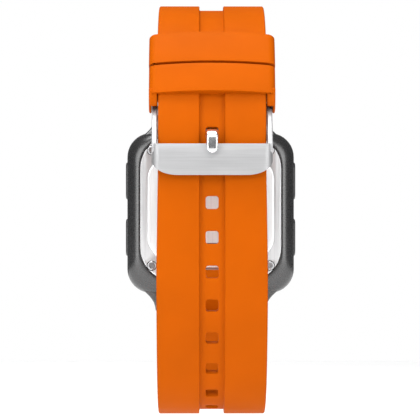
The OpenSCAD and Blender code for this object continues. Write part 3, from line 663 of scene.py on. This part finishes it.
def prism(bm, outline, x0, x1):
    """A side-view outline of (Y, Z) points made solid between two X values."""
    verts = [bm.verts.new((x0, y, z)) for y, z in outline]
    face = bm.faces.new(verts)
    return verts + only(bmesh.types.BMVert, pull(bm, face, (x1 - x0, 0, 0)))


def edges_among(verts, least=30):
    group = set(verts)
    edges = {e for v in verts for e in v.link_edges if e.other_vert(v) in group}
    return [edge for edge in edges if folded(edge, least)]


def ears(bm, half):
    """The two ears that run down from the fixed keeper, over the buckle's eyes."""
    top = polar(UPPER, BACK_R + 1.2, 14.4)
    y, z = PIN.y, PIN.z
    cheek = [(y - 1.4, top.z), (top.y - 1, top.z), (y + 3.5, z + 1.6), (y + 2.9, z), (y + 2.2, z - 0.7),
             (y + 1.2, z - 1.05), (y - 0.8, z - 1.1), (y - 1.8, z)]
    cover = [(y + 2.2, top.z), (top.y - 0.4, top.z), (y + 4.1, z + 1.5), (y + 3.8, z + 0.2),
             (y + 2.5, z + 0.2)]
    for side in (-1, 1):
        made = prism(bm, cheek, side * (PIN_HALF + 0.15), side * half)
        ease(bm, edges_among(made), 0.2, 3)
        made = prism(bm, cover, side * (NECK_W / 2 + 0.2), side * (half - 0.02))
        ease(bm, edges_among(made), 0.3, 3)


# ---- Buckle ----

ARM_X = NECK_W / 2 + 0.2
ARM_T = 1.15
PIN_HALF = ARM_X + ARM_T
PLATE_Y = TAIL_Y + 0.2
PLATE_T = 1.5
PLATE_OUT = PLATE_Y + PLATE_T
PLATE_TOP = PIN.z - 8
PLATE_H = 6.7
PLATE_LOW = PLATE_TOP - PLATE_H


def trim(bm, point, normal):
    """Cuts everything beyond a plane away and closes the cut."""
    cut = bmesh.ops.bisect_plane(bm, geom=bm.verts[:] + bm.edges[:] + bm.faces[:], plane_co=point,
                                 plane_no=normal, clear_outer=True)
    edges = only(bmesh.types.BMEdge, cut["geom_cut"])
    bmesh.ops.holes_fill(bm, edges=edges, sides=0)


def buckle_plate():
    """The face of the buckle, with its ends bent round towards the arms."""
    bm = bmesh.new()
    outer = 1.8
    depth = 5.0
    around = []
    for radius, half, y in ((outer, PIN_HALF, PLATE_OUT), (outer - ARM_T, ARM_X, PLATE_Y)):
        turns = [math.radians(a) for a in range(0, 91, 10)]
        arc = [(half - radius + radius * math.cos(t), y - radius + radius * math.sin(t)) for t in turns]
        side = [(half, y - depth)] + arc
        around.append(side + [(-x, v) for x, v in reversed(side)])
    outline = around[0] + list(reversed(around[1]))
    verts = [bm.verts.new((x, y, PLATE_LOW - 0.01)) for x, y in outline]
    face = bm.faces.new(verts)
    pull(bm, face, (0, 0, PLATE_H + 0.01))
    across, up = 5.6, 3.3             # the lower corners are broad ellipses
    for side in (-1, 1):
        centre = Vector((side * (PIN_HALF - across), 0, PLATE_LOW + up))
        for a in range(6, 88, 9):
            x, z = math.cos(math.radians(a)), math.sin(math.radians(a))
            spot = centre + Vector((side * across * x, 0, -up * z))
            trim(bm, spot, Vector((side * x / across, 0, -z / up)))
    lean = Vector((0, -0.80, -0.60))
    trim(bm, Vector((0, PLATE_Y - 0.6, PLATE_LOW + 2.4)), lean)
    ease(bm, corner_edges(bm, 50), 0.16, 3)
    return bm


def buckle_arm(bm, side):
    """One arm, from the bent end of the plate to its round eye on the bar."""
    eye = 1.5
    outline = [(PLATE_OUT - 0.5, PLATE_TOP + 0.35), (PLATE_OUT - 0.5, PLATE_TOP - 1.5),
               (PLATE_Y - 1.2, PLATE_LOW + 2.9)]
    outline += [(p.y, p.z) for p in (polar(PIN, eye, a) for a in range(212, 31, -15))]
    made = prism(bm, outline, side * ARM_X, side * PIN_HALF)
    ease(bm, edges_among(made, 40), 0.2, 3)


def make_buckle():
    bm = buckle_plate()
    for side in (-1, 1):
        buckle_arm(bm, side)
    return piece(bm, "buckle_frame_skin", BUCKLE_STEEL, "buckle", ["buckle_frame"])


def make_tongue():
    """A rounded steel finger bent out through the strap hole and down over the plate."""
    thick, width = 1.3, 2.66
    bend = 0.6 + thick / 2
    cross_z = PIN.z - 5.6
    rest_y = PLATE_OUT + 0.05 + thick / 2
    first = Vector((0, PIN.y + bend, cross_z + bend))
    second = Vector((0, rest_y - bend, cross_z - bend))
    bm = bmesh.new()
    path = [(Vector((0, PIN.y, PIN.z - 0.6)), -90)]
    path += [(polar(first, bend, a), a + 90) for a in range(180, 271, 10)]
    path += [(polar(second, bend, a), a - 90) for a in range(90, -1, -10)]
    end = PIN.z - 10 - second.z
    tip = width / 2
    drops = [end * 0.3, end + tip]
    drops += [end + tip - tip * math.sin(math.radians(a)) for a in range(12, 91, 13)]
    for drop in drops:
        path.append((Vector((0, rest_y, second.z + drop)), -90))
    outline = finger_outline(width, thick)
    here = edges = first_ring = None
    for index, (point, heading) in enumerate(path):
        past = max(0.0, (second.z + end + tip - point.z) / tip) if index > 4 else 0.0
        size = math.sqrt(max(1 - min(past, 1) ** 2, 0.01))
        there = turned(point, heading + 90, "X") @ Matrix.Diagonal((size, 0.45 + 0.55 * size, 1, 1))
        if here is None:
            first_ring = edges = start_ring(bm, outline, there)[1]
        else:
            edges = next_ring(bm, edges, there @ here.inverted())[1]
        here = there
    for ring in (first_ring, edges):
        bmesh.ops.contextual_create(bm, geom=ring)
    barrel(bm, width, PIN, 1.45, 0.2)
    return piece(bm, "buckle_tongue_skin", TONGUE_STEEL, "tongue", ["buckle_tongue"],
                 sharp=50)


def finger_outline(width, thick):
    """Nearly flat underneath and crowned on top."""
    corner = thick * 0.45
    points = []
    for sx, sy, start in ((1, 1, 0), (-1, 1, 90), (-1, -1, 180), (1, -1, 270)):
        for a in range(0, 91, 18):
            turn = math.radians(start + a)
            points.append((sx * (width / 2 - corner) + corner * math.cos(turn),
                           sy * (thick / 2 - corner) + corner * math.sin(turn)))
    return points


# ---- Case ----

CASE_W = case_high.x - case_low.x
CASE_H = 2 * (LUG_Z - 1.1)
PLATE_RISE = 1.25
plate_low, plate_high = mm_box("case_back")
BACK_W = plate_high.x - plate_low.x
BACK_H = plate_high.z - plate_low.z
BODY_D = -case_low.y
FRONT_D = -mm_box("top_bezel")[0].y
BUTTON_NODES = ("button_upper_left", "button_lower_left", "button_upper_right", "button_lower_right")


def make_case():
    bm = bmesh.new()
    seat = (BACK_W + 0.2, BACK_H + 0.2, 8.4)
    levels = [
        (*seat, facing_back(1.4, PLATE_RISE)),
        (*seat, facing_back(0.62, PLATE_RISE)),
        (BACK_W + 0.45, BACK_H + 0.45, 8.5, facing_back(0.6, PLATE_RISE - 0.02)),
        (BACK_W + 1.2, BACK_H + 1.2, 8.2, facing_back(0.7, 0.95)),
        (BACK_W + 2.6, BACK_H + 1.9, 7.6, facing_back(1.02, 0.6)),
        (CASE_W - 2.6, CASE_H - 1.1, 6.9, facing_back(1.6, 0.25)),
        (CASE_W - 1.4, CASE_H - 0.5, 6.5, facing_back(2.4, 0.1)),
        (CASE_W - 0.6, CASE_H - 0.2, 6.2, facing_back(3.4)),
        (CASE_W - 0.15, CASE_H - 0.05, 6.05, facing_back(4.4)),
        (CASE_W, CASE_H, 6.0, facing_back(5.2)),
        (CASE_W, CASE_H, 6.0, facing_back(BODY_D - 0.5)),
        (CASE_W - 0.35, CASE_H - 0.35, 5.9, facing_back(BODY_D - 0.05)),
    ]
    loft(bm, levels, segments=10)
    body = piece(bm, "case_body_skin", CASE, "watch", ["case_body"])
    wells = []
    for node in BUTTON_NODES:
        low, high = mm_box(node)
        side = 1 if low.x > 0 else -1
        middle = (low + high) / 2
        well = bmesh.new()
        size = (high.y - low.y + 0.4, high.z - low.z + 0.44, 1.75)
        loft(well, [(*size, facing_side(side * (CASE_W / 2 - 2.4), middle.y, middle.z)),
                    (*size, facing_side(side * (CASE_W / 2 + 1), middle.y, middle.z))], segments=6)
        wells.append(well)
    for side in (-1, 1):
        bay = bmesh.new()
        barrel_bay(bay, side)
        wells.append(bay)
    carve(body, wells)
    lugs = bmesh.new()
    for sx in (-1, 1):
        for sz in (-1, 1):
            lug(lugs, sx, sz)
    piece(lugs, "case_lugs", CASE, "watch")
    return body


def barrel_bay(bm, side):
    """The hollow in the case end that clears the strap's round end."""
    rod(bm, BAY_R, BAY_W, turned((0, LUG_Y, side * LUG_Z), 90, "Y"), 48)


def lug(bm, sx, sz):
    """One lug: it flares out of the case corner and ends in a round nose about its bar."""
    inner = 12.15
    shape = ((-5.0, 18.6, -2.0, -10.5), (-3.2, 17.7, -2.3, -10.5), (-2.2, 17.0, -2.55, -10.5),
             (-1.2, 16.0, -2.85, -10.5), (-0.4, 15.2, -3.15, -10.45), (0.4, 14.6, -3.5, -10.3),
             (1.2, 14.15, -3.95, -10.0), (2.0, 13.9, -4.5, -9.5), (2.6, 13.8, -5.1, -8.9),
             (3.1, 13.75, -5.8, -8.2), (3.38, 13.7, -6.5, -7.4))
    levels = []
    for rise, outer, wrist, front in shape:
        width = outer - inner
        deep = wrist - front
        centre = facing_up(sx * (inner + width / 2), (wrist + front) / 2, sz * (LUG_Z + rise))
        levels.append((width, deep, min(0.7, deep * 0.45, width * 0.45), centre))
    loft(bm, levels, segments=5)


PAD_SHORT = 2.3                   # the raised centre stops short of the strap's tab


def make_case_back():
    """The steel plate, with the raised centre whose corners are cut away for the screws."""
    bm = bmesh.new()
    levels = [(BACK_W, BACK_H, 8.3, facing_back(1.38, PLATE_RISE)),
              (BACK_W, BACK_H, 8.3, facing_back(0.62, PLATE_RISE)),
              (BACK_W - 0.12, BACK_H - 0.12, 8.25, facing_back(0.53, PLATE_RISE)),
              (BACK_W - 0.36, BACK_H - 0.36, 8.15, facing_back(0.5, PLATE_RISE))]
    loft(bm, levels, segments=12)
    half_w, half_h = BACK_W / 2 - 1.8, BACK_H / 2 - 0.85
    plate = piece(bm, "case_back_skin", BACK_STEEL, "watch", ["case_back"])
    bm = bmesh.new()
    cut = Vector((5.6, 8.5))
    quarter = [(half_w, half_h - cut.y), (half_w - cut.x, half_h)]
    foot = (half_w - cut.x * (1 - PAD_SHORT / cut.y), half_h - PAD_SHORT)
    outline = quarter + [(-x, z) for x, z in reversed(quarter)]
    outline += [(-half_w, cut.y - half_h), (-foot[0], -foot[1]), (foot[0], -foot[1]),
                (half_w, cut.y - half_h)]
    deep = 0.52
    verts = [bm.verts.new((x, -deep, z + PLATE_RISE)) for x, z in outline]
    bm.faces.new(verts)
    ease(bm, verts, 1.2, 4, "VERTICES")
    face = next(f for f in bm.faces if abs(f.calc_center_median().y + deep) < 1e-3 and len(f.verts) > 20)
    top = only(bmesh.types.BMFace, pull(bm, face, (0, deep, 0)))[0]
    ease(bm, top.edges, 0.34, 4)
    centre_plate = piece(bm, "case_back_centre", CENTRE_STEEL, "watch")
    carve(centre_plate, [contact_pocket()])
    pockets = [contact_pocket()]
    for x, z in SCREW_PLACES:
        pocket = bmesh.new()
        rod(pocket, SCREW_R + 0.1, 2.4, turned((x, -0.5, z), 90, "X"), 40)
        pockets.append(pocket)
    carve(plate, pockets)
    return plate


def contact_pocket():
    bm = bmesh.new()
    low, high = mm_box("contact_insulator")
    middle = (low + high) / 2
    size = (high.x - low.x + 0.1, high.z - low.z + 0.1, 1.05)
    loft(bm, [(*size, facing_back(-0.5, middle.z)), (*size, facing_back(1.5, middle.z))], segments=6)
    return bm


screw_low, screw_high = mm_box("case_back_screws")
SCREW_R = 1.15
SCREW_PLACES = [(x, z) for x in (screw_low.x + SCREW_R, screw_high.x - SCREW_R)
                for z in (screw_low.z + SCREW_R, screw_high.z - SCREW_R)]


def make_screws():
    """Pan heads with a six-lobed socket, each in its pocket."""
    sides = 36
    bm = bmesh.new()
    for x, z in SCREW_PLACES:
        head = rod(bm, SCREW_R, 0.6, turned((x, -0.75, z), -90, "X"), sides)
        top = max({f for v in head for f in v.link_faces}, key=lambda f: f.calc_center_median().y)
        ease(bm, top.edges, 0.3, 4)
        spot = Vector((x, -0.45, z))
        top = min((f for f in bm.faces if len(f.verts) == sides),
                  key=lambda f: (f.calc_center_median() - spot).length)
        bmesh.ops.inset_region(bm, faces=[top], thickness=0.24)
        centre = top.calc_center_median()
        for v in top.verts:
            out = v.co - centre
            lobe = 0.86 + 0.14 * math.cos(6 * math.atan2(out.z, out.x))
            v.co = centre + out * lobe
        pull(bm, top, (0, -0.35, 0))
        bmesh.ops.delete(bm, geom=[top], context="FACES_ONLY")
        rod(bm, 0.65, 2.8, turned((x, -2.4, z), 90, "X"), 20)
    return piece(bm, "case_back_screws_skin", SCREW_STEEL, "watch", ["case_back_screws"])


def make_button(node):
    """A crowned cap on its stem."""
    low, high = mm_box(node)
    side = 1 if low.x > 0 else -1
    face_x = max(abs(low.x), abs(high.x))
    inner_x = min(abs(low.x), abs(high.x))
    middle = (low + high) / 2
    deep, tall = high.y - low.y, high.z - low.z

    def level(x, shrink, radius):
        return (deep - shrink, tall - shrink, radius, facing_side(side * x, middle.y, middle.z))

    bm = bmesh.new()
    loft(bm, [level(face_x - 2.5, 0, 1.6), level(face_x - 0.42, 0, 1.6), level(face_x - 0.2, 0.14, 1.55),
              level(face_x - 0.05, 0.46, 1.4), level(face_x, 0.95, 1.15)], segments=8)
    root_x = face_x - 2.4
    stem = turned((side * (inner_x + root_x) / 2, middle.y, middle.z), 90, "Y")
    rod(bm, 0.8, root_x - inner_x, stem, 24)
    return piece(bm, node + "_skin", BUTTON, node, [node], sharp=40)


def make_bezel():
    bm = bmesh.new()
    lens_low, lens_high = mm_box("lens")
    opening = (lens_high.x - lens_low.x + 0.2, lens_high.z - lens_low.z + 0.2)
    screen_low, screen_high = mm_box("lcd_display")
    window = (screen_high.x - screen_low.x - 1, screen_high.z - screen_low.z - 1)
    rise = (screen_low.z + screen_high.z) / 2
    levels = [
        (*window, 1.5, facing_back(BODY_D + 0.1, rise)),
        (*window, 1.5, facing_back(FRONT_D - 1.62, rise)),
        (*opening, 2.6, facing_back(FRONT_D - 1.6)),
        (*opening, 2.6, facing_back(FRONT_D - 0.12)),
        (opening[0] + 0.25, opening[1] + 0.25, 2.7, facing_back(FRONT_D)),
        (CASE_W - 4.6, CASE_H - 4.6, 4.0, facing_back(FRONT_D)),
        (CASE_W - 3.4, CASE_H - 3.4, 4.5, facing_back(FRONT_D - 0.12)),
        (CASE_W - 1.3, CASE_H - 1.3, 5.4, facing_back(FRONT_D - 0.85)),
        (CASE_W - 0.3, CASE_H - 0.3, 5.85, facing_back(FRONT_D - 1.5)),
        (CASE_W - 0.1, CASE_H - 0.1, 5.95, facing_back(BODY_D + 0.3)),
        (CASE_W - 0.4, CASE_H - 0.4, 5.85, facing_back(BODY_D + 0.02)),
    ]
    loft(bm, levels + [levels[0]], segments=10, cap=(False, False))
    return piece(bm, "top_bezel_skin", BEZEL, "watch", ["top_bezel"])


SEGMENTS = {"0": "abcdef", "1": "bc", "2": "abdeg", "3": "abcdg", "4": "bcfg", "5": "acdfg", "6": "acdefg",
            "7": "abc", "8": "abcdefg", "9": "abcdfg"}


def figure(bm, width, tall, x, z):
    """One dark bar of the display: a thin closed slab in front of the glass."""
    face = -mm_box("lcd_display")[0].y
    radius = min(width, tall) * 0.35
    spots = [facing_back(depth, 0) @ Matrix.Translation((x, z, 0)) for depth in (face + 0.01, face + 0.05)]
    loft(bm, [(width, tall, radius, spot) for spot in spots], segments=2)


def digit(bm, text, x, z, tall):
    """One seven-segment digit, seen from the front."""
    wide, bar, gap = tall * 0.52, tall * 0.11, tall * 0.02
    spots = {"a": (0, tall, True), "g": (0, tall / 2, True), "d": (0, 0, True),
             "b": (wide / 2, tall * 0.75, False), "c": (wide / 2, tall * 0.25, False),
             "f": (-wide / 2, tall * 0.75, False), "e": (-wide / 2, tall * 0.25, False)}
    for name in SEGMENTS[text]:
        dx, dz, flat = spots[name]
        length = (wide if flat else tall / 2) - bar - gap
        size = (length, bar) if flat else (bar, length)
        figure(bm, *size, x + dx, z + dz)


def make_readout():
    """The time, a row of small figures and a signal mark in dark liquid-crystal bars."""
    bm = bmesh.new()
    low, high = mm_box("lcd_display")
    middle = (low.z + high.z) / 2
    for text, x in (("1", -8.2), ("0", -3.6), ("0", 3.6), ("9", 8.2)):
        digit(bm, text, x, middle - 2.2, 6.4)
    for dz in (0.2, 2.4):
        figure(bm, 0.8, 0.8, 0, middle - 1.2 + dz)
    for text, x in (("5", -8.8), ("2", -6.4), ("4", -4.0), ("1", 4.0), ("5", 6.4), ("3", 8.8)):
        digit(bm, text, x, middle - 7.6, 3.0)
    for dz in (-3.5, 5.6):
        figure(bm, 21.5, 0.22, 0, middle + dz)
    for index in range(4):
        tall = 0.7 + 0.4 * index
        figure(bm, 0.7, tall, 6.6 + index, middle + 6.6 + tall / 2)
    return piece(bm, "display_figures", INK, "watch")


make_tail()
make_base()
make_free_keeper()
make_fixed_keeper()
make_buckle()
make_tongue()
make_case()
make_case_back()
make_screws()
for node in BUTTON_NODES:
    make_button(node)
make_bezel()
make_readout()


# ---- Studio ----

def pale_floor():
    bm = bmesh.new()
    bmesh.ops.create_grid(bm, x_segments=2, y_segments=2, size=0.4)
    bmesh.ops.translate(bm, vec=(0, 0, tail_low.z * MM - 0.03), verts=bm.verts)
    mesh = bpy.data.meshes.new("floor")
    bm.to_mesh(mesh)
    bm.free()
    floor = bpy.data.objects.new("floor", mesh)
    bpy.context.scene.collection.objects.link(floor)
    pale, _, _, surface = shader("floor_white", (0.93, 0.93, 0.93), 0.9, specular=0.1)
    surface.inputs["Emission Color"].default_value = (1, 1, 1, 1)
    surface.inputs["Emission Strength"].default_value = 0.25
    mesh.materials.append(pale)


def panel(name, place, aim, size, watts):
    """A soft light panel. Places are in metres."""
    light = bpy.data.lights.new(name, "AREA")
    light.shape = "RECTANGLE"
    light.size, light.size_y = size
    light.energy = watts
    made = bpy.data.objects.new(name, light)
    made.location = place
    made.rotation_euler = (Vector(aim) - Vector(place)).to_track_quat("-Z", "Y").to_euler()
    bpy.context.scene.collection.objects.link(made)


def white_room():
    """A white room to look at. What it lights and mirrors is a soft grey that is brighter overhead."""
    world = bpy.data.worlds.new("studio")
    world.use_nodes = True
    nodes, links = world.node_tree.nodes, world.node_tree.links
    seen = nodes["Background"]
    seen.inputs["Color"].default_value = (1, 1, 1, 1)
    seen.inputs["Strength"].default_value = 1.0
    where = nodes.new("ShaderNodeTexCoord")
    split = nodes.new("ShaderNodeSeparateXYZ")
    ramp = nodes.new("ShaderNodeValToRGB")
    ramp.color_ramp.elements[0].position = 0.25
    ramp.color_ramp.elements[0].color = (0.28, 0.28, 0.29, 1)
    ramp.color_ramp.elements[1].position = 0.9
    ramp.color_ramp.elements[1].color = (0.95, 0.95, 0.96, 1)
    height = nodes.new("ShaderNodeMapRange")
    height.inputs["From Min"].default_value = -1.0
    glow = nodes.new("ShaderNodeBackground")
    glow.inputs["Strength"].default_value = 0.2
    path = nodes.new("ShaderNodeLightPath")
    mix = nodes.new("ShaderNodeMixShader")
    links.new(where.outputs["Generated"], split.inputs["Vector"])
    links.new(split.outputs["Z"], height.inputs["Value"])
    links.new(height.outputs["Result"], ramp.inputs["Fac"])
    links.new(ramp.outputs["Color"], glow.inputs["Color"])
    links.new(path.outputs["Is Camera Ray"], mix.inputs["Fac"])
    links.new(glow.outputs["Background"], mix.inputs[1])
    links.new(seen.outputs["Background"], mix.inputs[2])
    links.new(mix.outputs["Shader"], nodes["World Output"].inputs["Surface"])
    bpy.context.scene.world = world


bpy.context.scene.view_settings.view_transform = "Standard"
white_room()
pale_floor()
panel("front_softbox", (0.04, 0.6, 0.42), (0, 0.02, 0), (0.6, 0.34), 2.5)
panel("top_softbox", (0.1, 0.24, 0.7), (0, 0.02, 0), (0.6, 0.4), 7.2)
panel("left_softbox", (0.5, 0.56, 0.1), (0, 0.02, 0), (0.34, 0.6), 2.7)
panel("right_softbox", (-0.5, 0.56, 0.1), (0, 0.02, 0), (0.34, 0.6), 2.6)
